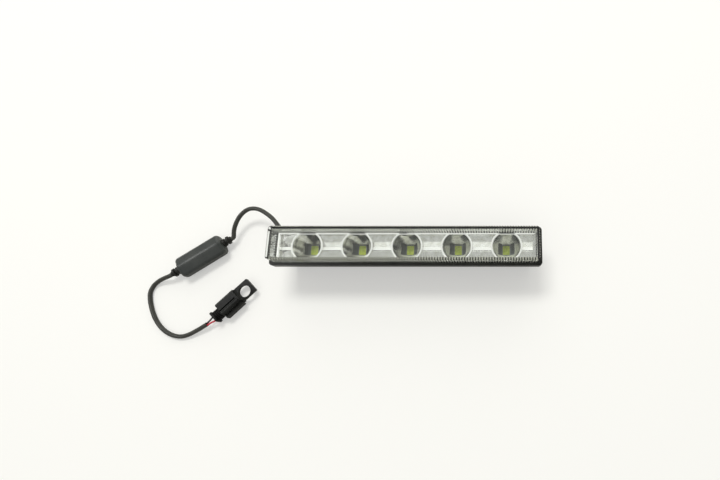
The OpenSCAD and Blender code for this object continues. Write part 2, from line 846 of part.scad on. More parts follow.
rear_housing();
lens_seal();
lens_cover();
reflector_bezel();
heat_pad();
circuit_board();
led_body(1);  // led_body_1
led_body(2);  // led_body_2
led_body(3);  // led_body_3
led_body(4);  // led_body_4
led_body(5);  // led_body_5
led_phosphor(1);  // led_phosphor_1
led_phosphor(2);  // led_phosphor_2
led_phosphor(3);  // led_phosphor_3
led_phosphor(4);  // led_phosphor_4
led_phosphor(5);  // led_phosphor_5
board_screws();
board_resistors();
outlet_grommet();
inner_lead_red();
inner_lead_black();
lamp_cord();
driver_case_lower();
driver_case_upper();
driver_board();
driver_inductor();
driver_capacitor();
driver_chip();
driver_relief_in();
driver_relief_out();
plug_cord();
wire_red();
wire_black();
connector_cap();
connector_seal();
connector_housing();
terminal(-1);  // terminal_red
terminal(1);  // terminal_black
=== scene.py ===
"""Daytime running light on a pale table: finishes, cords, camera and light."""
import json
import math

import bmesh
import bpy
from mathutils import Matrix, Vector


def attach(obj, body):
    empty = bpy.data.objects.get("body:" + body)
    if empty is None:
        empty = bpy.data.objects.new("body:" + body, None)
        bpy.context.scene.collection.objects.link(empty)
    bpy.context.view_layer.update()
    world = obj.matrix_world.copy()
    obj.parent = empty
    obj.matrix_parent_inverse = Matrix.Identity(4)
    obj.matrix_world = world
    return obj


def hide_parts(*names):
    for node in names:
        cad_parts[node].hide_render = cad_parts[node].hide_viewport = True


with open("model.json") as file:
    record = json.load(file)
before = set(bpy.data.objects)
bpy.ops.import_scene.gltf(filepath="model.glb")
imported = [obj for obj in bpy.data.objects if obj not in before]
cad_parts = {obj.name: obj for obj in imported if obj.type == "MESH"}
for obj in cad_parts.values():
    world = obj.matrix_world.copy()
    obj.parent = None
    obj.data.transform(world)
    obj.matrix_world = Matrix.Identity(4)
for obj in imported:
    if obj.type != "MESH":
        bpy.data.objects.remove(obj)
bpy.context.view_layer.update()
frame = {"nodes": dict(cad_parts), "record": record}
NODES = frame["nodes"]
MM = 0.001

# The reflector, in millimetres. Heights are over the back of the lamp.
RIM_Z, FOOT_Z, BOARD_Z, EMITTER_Z = 28.4, 27.2, 12.2, 13.8
FOIL_X, FOIL_Y, FOIL_T = 86.05, 9.1, 1.1
TUB_X, CUP_FLAT, CUP_R = 85.3, 8.0, 9.5
CUP_XS = [33.3 * i for i in (-2, -1, 0, 1, 2)]
WINDOW_X, WINDOW_Y = 5.5, 4.05
BORDER_FLAT, BORDER_BEVEL, BORDER_LEDGE, BORDER_END = 0.6, 0.4, 0.35, 0.4
TROUGH_Z, FLANK_Y, FLANK_Z, FLANK_BACK = 25.4, 7.45, 27.0, 0.2
KNEE = ((0.32, 0.61), (0.42, 0.75), (0.53, 0.86), (0.65, 0.93))
END_T = 1.3
COLLAR_IN, COLLAR_FLAT, COLLAR_OUT, COLLAR_W = 0.4, 0.35, 0.4, 1.3
CORNER_AT, CORNER_IN, CORNER_REACH = Vector((-82.5, 6.15)), 1.95, 20
SHELF_Z, SHELF_T = 26.5, 0.5
SHELF_LEFT_X, SHELF_RIGHT_X, SHELF_LOW_Y = -84.8, -78.45, 2.55

# The cups are parabolas with the emitters in their focus
CUP_DEPTH = RIM_Z - EMITTER_Z
CUP_FOCUS = (math.hypot(CUP_DEPTH, CUP_R) - CUP_DEPTH) / 2
CUP_VERTEX = EMITTER_Z - CUP_FOCUS
WINDOW_REACH = math.hypot(WINDOW_X, WINDOW_Y)

# How far the cups' solids and cutters reach past one another, so that no two faces coincide
SHELL_LAP, BORE_LAP, CUTTER_LAP, TALL = 1.5, 0.15, 1, 2 * RIM_Z

# Painted highlights on the chrome: where the painted glint lies on the side of the trough that faces the
# window, as a share of its half width, how flat it is, and how far down the painted edges reach
PAINTED_GLINT_SHARE, PAINTED_GLINT_UP, PAINTED_EDGE_DEPTH = -0.34, 0.8, 0.1

# Camera: the photograph is 720 pixels wide, and its vertical lines meet at pixel FOCUS_X
PHOTO_W, FOCUS_X, FOCAL_PX = 720, 496, 466.3
SENSOR = 36.0
CAMERA_AT = (0.0595, -0.0648, 0.3327)
CAMERA_TILT = math.radians(12.8)

# Light: the directions of the window and of a pale patch in front, and how bright each part is
WINDOW_DIR, WINDOW_EDGE, WINDOW_LEVEL = (0.0, 0.94, 0.34), (0.8, 0.97), 1.8
FRONT_DIR, FRONT_EDGE, FRONT_LEVEL = (-0.12, -0.5, 0.86), (0.93, 0.99), 0.5
ROOM_LEVEL, ROOM_COLOR = 0.5, (1, 1, 0.97)
TABLE_HALF, TABLE_COLOR, TABLE_LIFT = 3.0, (0.9, 0.89, 0.83), 0.38

# Driver and connector, in millimetres: places as in the part's own source, forms a little softer
DRIVER_AT, DRIVER_TURN = Vector((-150.3, -2.4, 5.5)), math.radians(34)
DRIVER_DIR = Vector((math.cos(DRIVER_TURN), math.sin(DRIVER_TURN), 0))
DRIVER_LEN, DRIVER_W, DRIVER_T, RELIEF_LEN = 34.0, 15.6, 11.0, 6
DRIVER_R, CREST_R, DRIVER_SLOPE = 3.4, 4.5, math.radians(20)
SIDE_Z_MIN, PILLOW_R, PARTING_GROOVE = 0.1, 2.8, 0.15
DRIVER_REACH = DRIVER_LEN / 2 + RELIEF_LEN
PLUG_AT, PLUG_TURN = Vector((-135.7, -45.7, 4.5)), math.radians(45.5)
PLUG_DIR = Vector((math.cos(PLUG_TURN), math.sin(PLUG_TURN), 0))
PLUG_SIDE = Vector((-PLUG_DIR.y, PLUG_DIR.x, 0))
BODY_RIGHT, BODY_SLACK = -4.65, 0.01
LATCH_REACH, LATCH_THICK, CAP_SIZE = 0.7, 0.8, 0.86

# Routes of the cords and wires, in millimetres, as in the part's own source
OUTLET_TIP = Vector((-88.1, 11.75, 15))
OUTLET_DIR = Vector((-math.sqrt(0.5), math.sqrt(0.5), 0))
DRIVER_TIP_IN = DRIVER_AT + DRIVER_REACH * DRIVER_DIR
DRIVER_TIP_OUT = DRIVER_AT - DRIVER_REACH * DRIVER_DIR
LAMP_ROUTE = [OUTLET_TIP, OUTLET_TIP + 3 * OUTLET_DIR, (-94.2, 18.3, 15), (-98.6, 23.1, 14.5),
              (-103.4, 26.8, 14), (-108.5, 29.7, 13.5), (-113.3, 30.9, 13), (-117.9, 30.5, 12),
              (-121.8, 28.3, 11), (-125, 24.8, 10), (-127.6, 19.9, 8.6), (-129, 15.8, 7),
              DRIVER_TIP_IN + 2 * DRIVER_DIR, DRIVER_TIP_IN]
PLUG_ROUTE = [DRIVER_TIP_OUT, DRIVER_TIP_OUT - 2.5 * DRIVER_DIR, (-175.8, -18, 4.2),
              (-180.4, -19.9, 2.6), (-184.1, -23, 1.6), (-185.8, -27.6, 1.5), (-185.2, -32.6, 1.5),
              (-183.6, -37.6, 1.5), (-181.3, -42.8, 1.5), (-178.2, -47.8, 1.5),
              (-174.3, -52.2, 1.5), (-169.7, -55.6, 1.5), (-164.6, -57.8, 1.5),
              (-159.2, -58.4, 1.6), (-154, -57.1, 2.1), (-149.2, -54.8, 2.8),
              (-144.6, -52.3, 3.6), (-141, -50.1, 4.2)]
PARTING = Vector(PLUG_ROUTE[-1])
PARTING_DIR = (PARTING - Vector(PLUG_ROUTE[-2])).normalized()
PARTING_SIDE = PARTING_DIR.cross(Vector((0, 0, 1))).normalized()
CORD_D, WIRE_D = 3.0, 1.2
WIRE_Y, WIRE_START, WIRE_LEAD_OUT, WIRE_LEAD_IN = 1.5, 0.7, 1.2, 1.6
RED_BEND, BLACK_BEND = (-138, -49, 4.5), (-139, -47.4, 4.5)

# The lens: pitch of its flutes, how far out they lie, and the heights between which the painted shade at
# their front ends sets in
FLUTE_PITCH, FLUTED_X, FLUTED_Y, WALL_UP = 1.75, 87.2, 10.3, 0.5
PAINTED_SHADE_FROM, PAINTED_SHADE_TO = 36.0, 36.5
LENS_COLOR, LENS_IOR, PLASTIC_IOR = (0.97, 0.985, 0.97), 1.58, 1.5

# Finish of the curves: steps in each, and the angle up to which neighbouring faces shade as one
TURN_STEPS, CURVE_STEPS, SMOOTH_STEPS, TUBE_STEPS = 96, 20, 6, 6
CREST_STEPS, SIDE_STEPS, PILLOW_STEPS = 6, 8, 7
SOFT_DEG, DRIVER_SOFT_DEG = 30, 35

# Moulded finishes: darkest and lightest colour, roughness, grain's size and depth, specular level
MOULDED = {
    "housing": ((0.006, 0.0065, 0.005), (0.012, 0.012, 0.01), 0.4, 0.5, 0.015, 0.25),
    "seal": ((0.012, 0.012, 0.012), (0.02, 0.02, 0.02), 0.75, 0.4, 0.02, 0.5),
    "heat_pad": ((0.38, 0.4, 0.43), (0.47, 0.49, 0.52), 0.8, 0.6, 0.02, 0.5),
    "circuit_board": ((0.1, 0.11, 0.1), (0.15, 0.16, 0.15), 0.35, 0.3, 0.005, 0.5),
    "led_body": ((0.16, 0.17, 0.16), (0.24, 0.25, 0.23), 0.4, 0.3, 0.005, 0.5),
    "resistors": ((0.03, 0.03, 0.035), (0.05, 0.05, 0.06), 0.3, 0.3, 0.01, 0.5),
    "grommet": ((0.008, 0.008, 0.006), (0.015, 0.015, 0.012), 0.5, 0.4, 0.02, 0.3),
    "wire_red": ((0.45, 0.01, 0.03), (0.6, 0.02, 0.06), 0.35, 0.3, 0.01, 0.5),
    "wire_black": ((0.01, 0.01, 0.01), (0.02, 0.02, 0.02), 0.35, 0.3, 0.01, 0.5),
    "cord": ((0.022, 0.022, 0.017), (0.034, 0.034, 0.026), 0.48, 0.5, 0.02, 0.5),
    "driver_case": ((0.022, 0.026, 0.024), (0.034, 0.038, 0.034), 0.42, 0.7, 0.03, 0.5),
    "driver_board": ((0.03, 0.15, 0.07), (0.05, 0.2, 0.1), 0.3, 0.4, 0.01, 0.5),
    "driver_inductor": ((0.05, 0.05, 0.05), (0.09, 0.09, 0.09), 0.6, 0.4, 0.02, 0.5),
    "driver_capacitor": ((0.03, 0.04, 0.14), (0.05, 0.06, 0.2), 0.3, 0.4, 0.01, 0.5),
    "driver_chip": ((0.015, 0.015, 0.015), (0.03, 0.03, 0.03), 0.6, 0.2, 0.01, 0.5),
    "connector": ((0.007, 0.0075, 0.007), (0.014, 0.0145, 0.013), 0.36, 0.5, 0.015, 0.12),
    "connector_seal": ((0.004, 0.004, 0.004), (0.01, 0.01, 0.009), 0.5, 0.3, 0.02, 0.1),
}
COLOR_GRAIN, ROUGH_GRAIN, ROUGH_SPREAD = 9, 2.5, 0.08
TONE_LOW, TONE_HIGH = 0.35, 0.65
# Shares of painted light: of the pale grey that stands in for the emitters' reflection in the chrome, and of
# the white painted on the chrome's edges
PAINTED_REFLECTION_SHARE, PAINTED_HIGHLIGHT_SHARE = 0.9, 0.75


def make_camera():
    data = bpy.data.cameras.new("camera")
    data.sensor_width = SENSOR
    data.lens = FOCAL_PX / PHOTO_W * SENSOR
    data.shift_x = (PHOTO_W / 2 - FOCUS_X) / PHOTO_W
    camera = bpy.data.objects.new("camera", data)
    bpy.context.scene.collection.objects.link(camera)
    camera.location = CAMERA_AT
    camera.rotation_euler = (CAMERA_TILT, 0, 0)
    bpy.context.scene.camera = camera


# Shader nodes


def add_node(tree, kind, **settings):
    node = tree.nodes.new("ShaderNode" + kind)
    for name, value in settings.items():
        setattr(node, name, value)
    return node


def feed(tree, socket, value):
    """Give a socket a link from another socket, or a plain value."""
    if isinstance(value, bpy.types.NodeSocket):
        tree.links.new(value, socket)
    else:
        socket.default_value = value


def calc(tree, operation, *values):
    node = add_node(tree, "Math", operation=operation)
    for socket, value in zip(node.inputs, values):
        feed(tree, socket, value)
    return node.outputs["Value"]


def remap(tree, value, start, end, low, high, kind="LINEAR"):
    """The value, where start becomes low and end becomes high."""
    node = add_node(tree, "MapRange", interpolation_type=kind)
    for name, number in (("Value", value), ("From Min", start), ("From Max", end),
                         ("To Min", low), ("To Max", high)):
        feed(tree, node.inputs[name], number)
    return node.outputs["Result"]


def tone(tree, fac, one, two, low=0.0, high=1.0):
    """A colour that goes from one to two while fac goes from low to high."""
    node = add_node(tree, "ValToRGB")
    for element, place, color in zip(node.color_ramp.elements, (low, high), (one, two)):
        element.position = place
        element.color = (*color, 1)
    tree.links.new(fac, node.inputs["Fac"])
    return node.outputs["Color"]


def ray_kind(tree, *kinds):
    """1 for rays of one or two kinds, such as Shadow, and 0 for all others."""
    path = add_node(tree, "LightPath")
    found = [path.outputs[f"Is {kind} Ray"] for kind in kinds]
    return calc(tree, "MAXIMUM", *found) if len(found) > 1 else found[0]


def blend(tree, share, one, two):
    """A mix of two shaders: one at share 0 and two at share 1."""
    node = add_node(tree, "MixShader")
    feed(tree, node.inputs["Fac"], share)
    tree.links.new(one, node.inputs[1])
    tree.links.new(two, node.inputs[2])
    return node.outputs["Shader"]


def show(tree, shader):
    tree.links.new(shader, tree.nodes["Material Output"].inputs["Surface"])


# Materials


def shade(name, color, rough, metal=0.0, specular=0.5, coat=0.0, ior=PLASTIC_IOR, clear=0.0):
    """A new material with the main settings on its shader's own sockets."""
    material = bpy.data.materials.new(name)
    material.use_nodes = True
    inputs = main_shader(material).inputs
    inputs["Base Color"].default_value = (*color, 1)
    inputs["Roughness"].default_value = rough
    inputs["Metallic"].default_value = metal
    inputs["Specular IOR Level"].default_value = specular
    inputs["Coat Weight"].default_value = coat
    inputs["IOR"].default_value = ior
    inputs["Transmission Weight"].default_value = clear
    return material


def main_shader(material):
    return material.node_tree.nodes["Principled BSDF"]


def noise(material, size_mm, detail):
    """Noise in the object's own coordinates, with grains of about size_mm."""
    tree = material.node_tree
    texture = add_node(tree, "TexNoise")
    texture.inputs["Scale"].default_value = 1 / (size_mm * MM)
    texture.inputs["Detail"].default_value = detail
    tree.links.new(add_node(tree, "TexCoord").outputs["Object"], texture.inputs["Vector"])
    return texture.outputs["Fac"]


def vary_color(material, fac, dark, light):
    tree = material.node_tree
    color = tone(tree, fac, dark, light, TONE_LOW, TONE_HIGH)
    tree.links.new(color, main_shader(material).inputs["Base Color"])


def vary_roughness(material, fac, low, high):
    tree = material.node_tree
    tree.links.new(remap(tree, fac, 0, 1, low, high), main_shader(material).inputs["Roughness"])


def add_bump(material, fac, depth_mm):
    tree = material.node_tree
    bump = add_node(tree, "Bump")
    bump.inputs["Distance"].default_value = depth_mm * MM
    tree.links.new(fac, bump.inputs["Height"])
    tree.links.new(bump.outputs["Normal"], main_shader(material).inputs["Normal"])


def moulded(name, dark, light, rough, grain_mm, grain_depth, specular):
    """Moulded plastic or rubber: a fine grain, a slow change of colour and of gloss."""
    material = shade(name, light, rough, specular=specular)
    vary_color(material, noise(material, COLOR_GRAIN, 4), dark, light)
    vary_roughness(material, noise(material, ROUGH_GRAIN, 4), rough - ROUGH_SPREAD, rough + ROUGH_SPREAD)
    add_bump(material, noise(material, grain_mm, 2), grain_depth)
    return material


def plated(name, dark, light):
    """Plated or stamped metal, with a slow change of tone and fine wear in its gloss."""
    material = shade(name, light, 0.3, metal=1)
    vary_color(material, noise(material, 3, 3), dark, light)
    vary_roughness(material, noise(material, 0.6, 4), 0.22, 0.42)
    add_bump(material, noise(material, 0.4, 2), 0.01)
    return material


def pass_rays(tree, shader, kinds, tint):
    """Let rays of two kinds straight through with a tint, and show the shader to all others."""
    clear = add_node(tree, "BsdfTransparent")
    clear.inputs["Color"].default_value = (*tint, 1)
    show(tree, blend(tree, ray_kind(tree, *kinds), shader, clear.outputs["BSDF"]))


def clear_lens():
    """Clear polycarbonate that lets the light of the lamps through to what lies behind it."""
    material = shade("lens", LENS_COLOR, 0.02, ior=LENS_IOR, clear=1)
    plastic = main_shader(material).outputs["BSDF"]
    pass_rays(material.node_tree, plastic, ("Shadow", "Diffuse"), (0.97, 0.98, 0.97))
    return material


def flute_light_and_shade():
    """The fluted inner walls, with painted light and shade: the ridges painted pale as a painted highlight,
    and the front ends of the grooves painted dark.
    """
    material = shade("lens_flutes_painted_light", LENS_COLOR, 0.06, ior=LENS_IOR, clear=1)
    tree = material.node_tree
    split = add_node(tree, "SeparateXYZ")
    tree.links.new(add_node(tree, "TexCoord").outputs["Object"], split.inputs["Vector"])
    turns = calc(tree, "MULTIPLY", split.outputs["X"], 2 * math.pi / (FLUTE_PITCH * MM))
    wave = calc(tree, "COSINE", turns)
    # Painted light and shade: the ridges of a cosine wave along the lens get a pale matt share, and near the
    # front the grooves are painted black
    painted_ridge_light = remap(tree, wave, -0.5, 0.5, 0.0, 0.9)
    groove_shade_mask = remap(tree, wave, 0.2, -0.2, 0.0, 1.0)
    painted_front_shade = remap(tree, split.outputs["Z"], PAINTED_SHADE_FROM * MM, PAINTED_SHADE_TO * MM, 0.0, 0.95)
    painted_shade = calc(tree, "MULTIPLY", groove_shade_mask, painted_front_shade)
    soft = add_node(tree, "BsdfDiffuse")
    tree.links.new(tone(tree, painted_shade, (0.78, 0.79, 0.7), (0.01, 0.01, 0.01)), soft.inputs["Color"])
    painted_light_share = calc(tree, "MAXIMUM", painted_ridge_light, painted_front_shade)
    surface = blend(tree, painted_light_share, main_shader(material).outputs["BSDF"], soft.outputs["BSDF"])
    pass_rays(tree, surface, ("Shadow", "Reflection"), (1, 1, 1))
    return material


def chrome(name):
    """Vacuum metal on plastic: bright, with the faint waves and haze of a moulded part."""
    material = shade(name, (0.92, 0.92, 0.9), 0.16, metal=1)
    vary_color(material, noise(material, 3, 3), (0.84, 0.84, 0.79), (0.96, 0.96, 0.94))
    vary_roughness(material, noise(material, 3, 4), 0.06, 0.2)
    add_bump(material, noise(material, 1.4, 2), 0.05)
    return material


def painted_edge_highlight():
    """Painted highlight for the rounded edges of the chrome: a share of white matt over the chrome, standing
    in for the light they catch from all sides.
    """
    material = chrome("reflector_painted_highlight")
    tree = material.node_tree
    soft = add_node(tree, "BsdfDiffuse")
    soft.inputs["Color"].default_value = (1, 1, 0.97, 1)
    show(tree, blend(tree, PAINTED_HIGHLIGHT_SHARE, main_shader(material).outputs["BSDF"], soft.outputs["BSDF"]))
    return material


def painted_reflection_tint(material, color):
    """Painted reflection: in rays reflected off the chrome, the emitters' colour is mixed towards a pale
    grey, standing in for the chrome's scatter.
    """
    tree = material.node_tree
    base_color = main_shader(material).inputs["Base Color"]
    paler = add_node(tree, "MixRGB")
    tree.links.new(calc(tree, "MULTIPLY", ray_kind(tree, "Reflection"), PAINTED_REFLECTION_SHARE), paler.inputs["Fac"])
    tree.links.new(base_color.links[0].from_socket, paler.inputs["Color1"])
    paler.inputs["Color2"].default_value = (*color, 1)
    tree.links.new(paler.outputs["Color"], base_color)


def phosphor():
    material = shade("led_phosphor", (0.42, 0.5, 0.06), 0.35, coat=0.4)
    vary_color(material, noise(material, 1.2, 3), (0.3, 0.38, 0.03), (0.46, 0.54, 0.07))
    add_bump(material, noise(material, 0.5, 2), 0.03)
    # Painted reflection of the phosphor in the chrome
    painted_reflection_tint(material, (0.85, 0.86, 0.76))
    return material


def make_materials():
    """One material for each slot of the record, by the slot's name."""
    materials = {name: moulded(name, *finish) for name, finish in MOULDED.items()}
    # Painted reflection: the LED bodies, too, show as a pale grey in the chrome
    painted_reflection_tint(materials["led_body"], (0.7, 0.7, 0.64))
    materials["lens"] = clear_lens()
    materials["reflector"] = chrome("reflector")
    materials["led_phosphor"] = phosphor()
    materials["screws"] = plated("screws", (0.5, 0.49, 0.46), (0.66, 0.65, 0.62))
    materials["terminal"] = plated("terminal", (0.66, 0.53, 0.28), (0.78, 0.65, 0.38))
    return materials


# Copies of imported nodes


def dress_nodes(materials):
    """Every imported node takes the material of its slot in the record."""
    slots = {part["node"]: part["material_slot"] for part in frame["record"]["subparts"]}
    for name, node in NODES.items():
        for material_slot in node.material_slots:
            material_slot.material = materials[slots[name]]


def soften(mesh, limit_deg):
    """Join doubled corners, shade softly over shallow edges and leave the others sharp."""
    work = bmesh.new()
    work.from_mesh(mesh)
    bmesh.ops.remove_doubles(work, verts=work.verts, dist=1e-6)
    limit = math.radians(limit_deg)
    for face in work.faces:
        face.smooth = True
    for edge in work.edges:
        edge.smooth = len(edge.link_faces) == 2 and edge.calc_face_angle(math.pi) < limit
    work.to_mesh(mesh)
    work.free()
    kept = mesh.attributes.get("custom_normal")
    if kept:
        mesh.attributes.remove(kept)


def smooth_copy(node_name):
    """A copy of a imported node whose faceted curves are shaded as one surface."""
    piece = NODES[node_name].copy()
    piece.data = NODES[node_name].data.copy()
    piece.name = node_name + "_smooth"
    bpy.context.scene.collection.objects.link(piece)
    soften(piece.data, SOFT_DEG)
    return piece


def reshape(piece, change):
    """Move the corners of a copy in the connector's own frame: X along it, Y to its left."""
    for vertex in piece.data.vertices:
        at = piece.matrix_world @ vertex.co / MM - PLUG_AT
        x, y, z = at.dot(PLUG_DIR), at.dot(PLUG_SIDE), at.z
        y, z = change(y, z)
        place = (PLUG_AT + x * PLUG_DIR + y * PLUG_SIDE + Vector((0, 0, z))) * MM
        vertex.co = piece.matrix_world.inverted() @ place
    return piece


def slim_latch(y, z):
    """What stands out at the right of the body, its latch, is closer to it and thinner."""
    if y < BODY_RIGHT - BODY_SLACK:
        return BODY_RIGHT + (y - BODY_RIGHT) * LATCH_REACH, z * LATCH_THICK
    return y, z


def slim_cap(y, z):
    return y * CAP_SIZE, z * CAP_SIZE


def paint_flute_light(mesh, material):
    """Give the inner walls of the lens, which carry the flutes, a finish of their own, with painted light and
    shade.
    """
    mesh.materials.append(material)
    for face in mesh.polygons:
        at = face.center / MM
        if abs(at.x) < FLUTED_X and abs(at.y) < FLUTED_Y and abs(face.normal.z) < WALL_UP:
            face.material_index = 1


def stand_in(piece, slot, *nodes):
    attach(piece, "root")
    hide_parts(*nodes)


# Solids for the reflector


def prism(outline, place):
    """A closed mesh: the outline's points, each put in space by place(u, v, end) at ends 0 and 1."""
    work = bmesh.new()
    caps = [[work.verts.new(Vector(place(u, v, end)) * MM) for u, v in outline] for end in (0, 1)]
    for k in range(len(outline)):
        n = (k + 1) % len(outline)
        work.faces.new((caps[0][k], caps[0][n], caps[1][n], caps[1][k]))
    work.faces.new(caps[0])
    work.faces.new(caps[1])
    bmesh.ops.recalc_face_normals(work, faces=work.faces)
    return work


def box(x0, x1, y0, y1, z0, z1):
    corners = [(x0, y0), (x1, y0), (x1, y1), (x0, y1)]
    return prism(corners, lambda x, y, end: (x, y, (z0, z1)[end]))


def turned(profile, cx):
    """A closed mesh: a profile of (radius, height) points turned about the vertical axis at cx."""
    work = bmesh.new()
    rings = []
    for r, z in profile:
        if r == 0:
            rings.append([work.verts.new(Vector((cx, 0, z)) * MM)])
        else:
            rings.append([work.verts.new(Vector((cx + r * math.cos(a), r * math.sin(a), z)) * MM)
                          for a in (2 * math.pi * k / TURN_STEPS for k in range(TURN_STEPS))])
    for one, two in zip(rings, rings[1:]):
        for k in range(TURN_STEPS):
            n = (k + 1) % TURN_STEPS
            corners = [one[k % len(one)], one[n % len(one)], two[n % len(two)], two[k % len(two)]]
            work.faces.new(list(dict.fromkeys(corners)))
    bmesh.ops.recalc_face_normals(work, faces=work.faces)
    return work


def joined(works):
    """One scratch object from meshes that don't touch one another."""
    mesh = bpy.data.meshes.new("scratch")
    whole = bmesh.new()
    for work in works:
        part = bpy.data.meshes.new("scratch_part")
        work.to_mesh(part)
        work.free()
        whole.from_mesh(part)
        bpy.data.meshes.remove(part)
    whole.to_mesh(mesh)
    whole.free()
    scratch = bpy.data.objects.new("scratch", mesh)
    bpy.context.scene.collection.objects.link(scratch)
    return scratch


def combine(base, tool, operation):
    """Change base by tool, which is used up."""
    change = base.modifiers.new("change", "BOOLEAN")
    change.operation = operation
    change.solver = "EXACT"
    change.object = tool
    bpy.context.view_layer.update()
    shaped = base.evaluated_get(bpy.context.evaluated_depsgraph_get())
    mesh = bpy.data.meshes.new_from_object(shaped)
    base.modifiers.clear()
    base.data = mesh
    bpy.data.objects.remove(tool)


def copy_of(scratch):
    twin = scratch.copy()
    twin.data = scratch.data.copy()
    bpy.context.scene.collection.objects.link(twin)
    return twin


# The reflector


def cup_height(r):
    """Height of the cup's parabola at a radius."""
    return CUP_VERTEX + r * r / (4 * CUP_FOCUS)


def cup_curve(low, high, out):
    """Points (radius, height) on the cup's parabola between two heights, moved outwards by out."""
    heights = [low + (high - low) * (k / CURVE_STEPS) for k in range(CURVE_STEPS + 1)]
    return [(math.sqrt(4 * CUP_FOCUS * (z - CUP_VERTEX)) + out, z) for z in heights]


def trough_outline():
    """The trough across the lamp: border, ledge, flank, rounded knee and floor, and its back."""
    flat_y = FOIL_Y - BORDER_FLAT
    bevel_y = flat_y - BORDER_BEVEL
    bevel_z = RIM_Z - BORDER_BEVEL
    rise = FLANK_Z - TROUGH_Z
    half = [(FOIL_Y, RIM_Z), (flat_y, RIM_Z), (bevel_y, bevel_z), (bevel_y - BORDER_LEDGE, bevel_z),
            (FLANK_Y, FLANK_Z)]
    half += [(y * FLANK_Y, TROUGH_Z + z * rise) for y, z in reversed(KNEE)]
    under = [(FOIL_Y, FOOT_Z), (FLANK_Y - FLANK_BACK, FLANK_Z - FOIL_T)]
    return (half + [(0, TROUGH_Z)] + [(-y, z) for y, z in reversed(half)]
            + [(-y, z) for y, z in under] + [(0, TROUGH_Z - FOIL_T)] + list(reversed(under)))


def make_trough():
    """The trough over the whole length, with its border all round and its two end walls."""
    trough = joined([prism(trough_outline(), lambda y, z, end: ((-TUB_X, TUB_X)[end], y, z))])
    border = joined([box(-FOIL_X, FOIL_X, -FOIL_Y, FOIL_Y, FOOT_Z, RIM_Z)])
    inner_x, inner_y = TUB_X - BORDER_END, FOIL_Y - BORDER_FLAT
    combine(border, joined([box(-inner_x, inner_x, -inner_y, inner_y, 0, TALL)]), "DIFFERENCE")
    combine(trough, border, "UNION")
    low_z = TROUGH_Z - FOIL_T
    ends = [box(-TUB_X, END_T - TUB_X, -FLANK_Y, FLANK_Y, low_z, RIM_Z),
            box(TUB_X - END_T, TUB_X, -FLANK_Y, FLANK_Y, low_z, RIM_Z)]
    combine(trough, joined(ends), "UNION")
    return trough


def make_cups():
    """The solid cups with their collars and windows, and the bores that hollow them."""
    collar_z = TROUGH_Z - FOIL_T
    top_r = CUP_R + COLLAR_IN + COLLAR_FLAT
    shell = ([(0, BOARD_Z), (WINDOW_REACH + FOIL_T, BOARD_Z)]
             + cup_curve(cup_height(WINDOW_REACH), collar_z - SHELL_LAP, FOIL_T)
             + [(CUP_R + COLLAR_W, collar_z), (top_r + COLLAR_OUT, RIM_Z - COLLAR_OUT),
                (top_r, RIM_Z), (0, RIM_Z)])
    low_z = cup_height(WINDOW_Y - BORE_LAP)
    bore = ([(0, low_z)] + cup_curve(low_z, RIM_Z - COLLAR_IN, 0)
            + [(CUP_R + COLLAR_IN, RIM_Z), (CUP_R + COLLAR_IN, RIM_Z + CUTTER_LAP), (0, RIM_Z + CUTTER_LAP)])
    shells = joined([turned(shell, x) for x in CUP_XS])
    combine(shells, joined([box(-TUB_X, TUB_X, -FOIL_Y, FOIL_Y, 0, RIM_Z)]), "INTERSECT")
    bores = joined([turned(bore, x) for x in CUP_XS])
    combine(bores, joined([box(-TUB_X, TUB_X, -CUP_FLAT, CUP_FLAT, 0, TALL)]), "INTERSECT")
    windows = [box(x - WINDOW_X, x + WINDOW_X, -WINDOW_Y, WINDOW_Y,
                   BOARD_Z - CUTTER_LAP, cup_height(WINDOW_REACH)) for x in CUP_XS]
    combine(shells, joined(windows), "DIFFERENCE")
    return shells, bores


def clear_corner(reflector):
    """Cut the corner where the cord comes in, and close it from above with a shelf."""
    out = Vector((-math.sqrt(0.5), math.sqrt(0.5)))
    along = CORNER_REACH * Vector((-out.y, out.x))
    inner = CORNER_AT - CORNER_IN * out
    outer = inner + CORNER_REACH * out
    corner = [tuple(p) for p in (inner + along, inner - along, outer - along, outer + along)]
    combine(reflector, joined([prism(corner, lambda x, y, end: (x, y, SHELF_Z * end))]), "DIFFERENCE")
    shelf = [(SHELF_LEFT_X, SHELF_LOW_Y), (SHELF_LEFT_X, FLANK_Y), (SHELF_RIGHT_X, FLANK_Y)]
    combine(reflector, joined([prism(shelf, lambda x, y, end: (x, y, SHELF_Z + SHELF_T * end))]), "UNION")


def paint_highlights(mesh):
    """Painted highlights: the tops of the collars and of the border, and the flat of the trough on the side
    that faces the window, take the painted white finish.
    """
    border_y = FOIL_Y - BORDER_FLAT - BORDER_BEVEL
    for face in mesh.polygons:
        at = face.center / MM
        reach = min(math.hypot(at.x - x, at.y) for x in CUP_XS)
        on_collar = reach < CUP_R + COLLAR_W
        # Painted highlight on the tops of the collars and of the border
        edge = at.z > RIM_Z - COLLAR_IN - PAINTED_EDGE_DEPTH and (on_collar or abs(at.y) > border_y)
        # Painted glint on the flat of the trough on the window side
        painted_glint = reach > CUP_R + COLLAR_W and PAINTED_GLINT_SHARE * FLANK_Y < at.y < 0 and face.normal.z > PAINTED_GLINT_UP
        if edge or painted_glint:
            face.material_index = 1


def make_reflector(material, highlight_material):
    """The reflector: a trough with rounded flanks, and five cups with collars and windows."""
    reflector = make_trough()
    shells, bores = make_cups()
    combine(reflector, copy_of(bores), "DIFFERENCE")
    combine(shells, bores, "DIFFERENCE")
    combine(reflector, shells, "UNION")
    clear_corner(reflector)
    mesh = reflector.data
    soften(mesh, SOFT_DEG)
    mesh.materials.clear()
    mesh.materials.append(material)
    mesh.materials.append(highlight_material)
    paint_highlights(mesh)
    reflector.name = mesh.name = "reflector"
    tidy = reflector.modifiers.new("normals", "WEIGHTED_NORMAL")
    tidy.keep_sharp = True
    return reflector


# The driver case, the cords and the wires


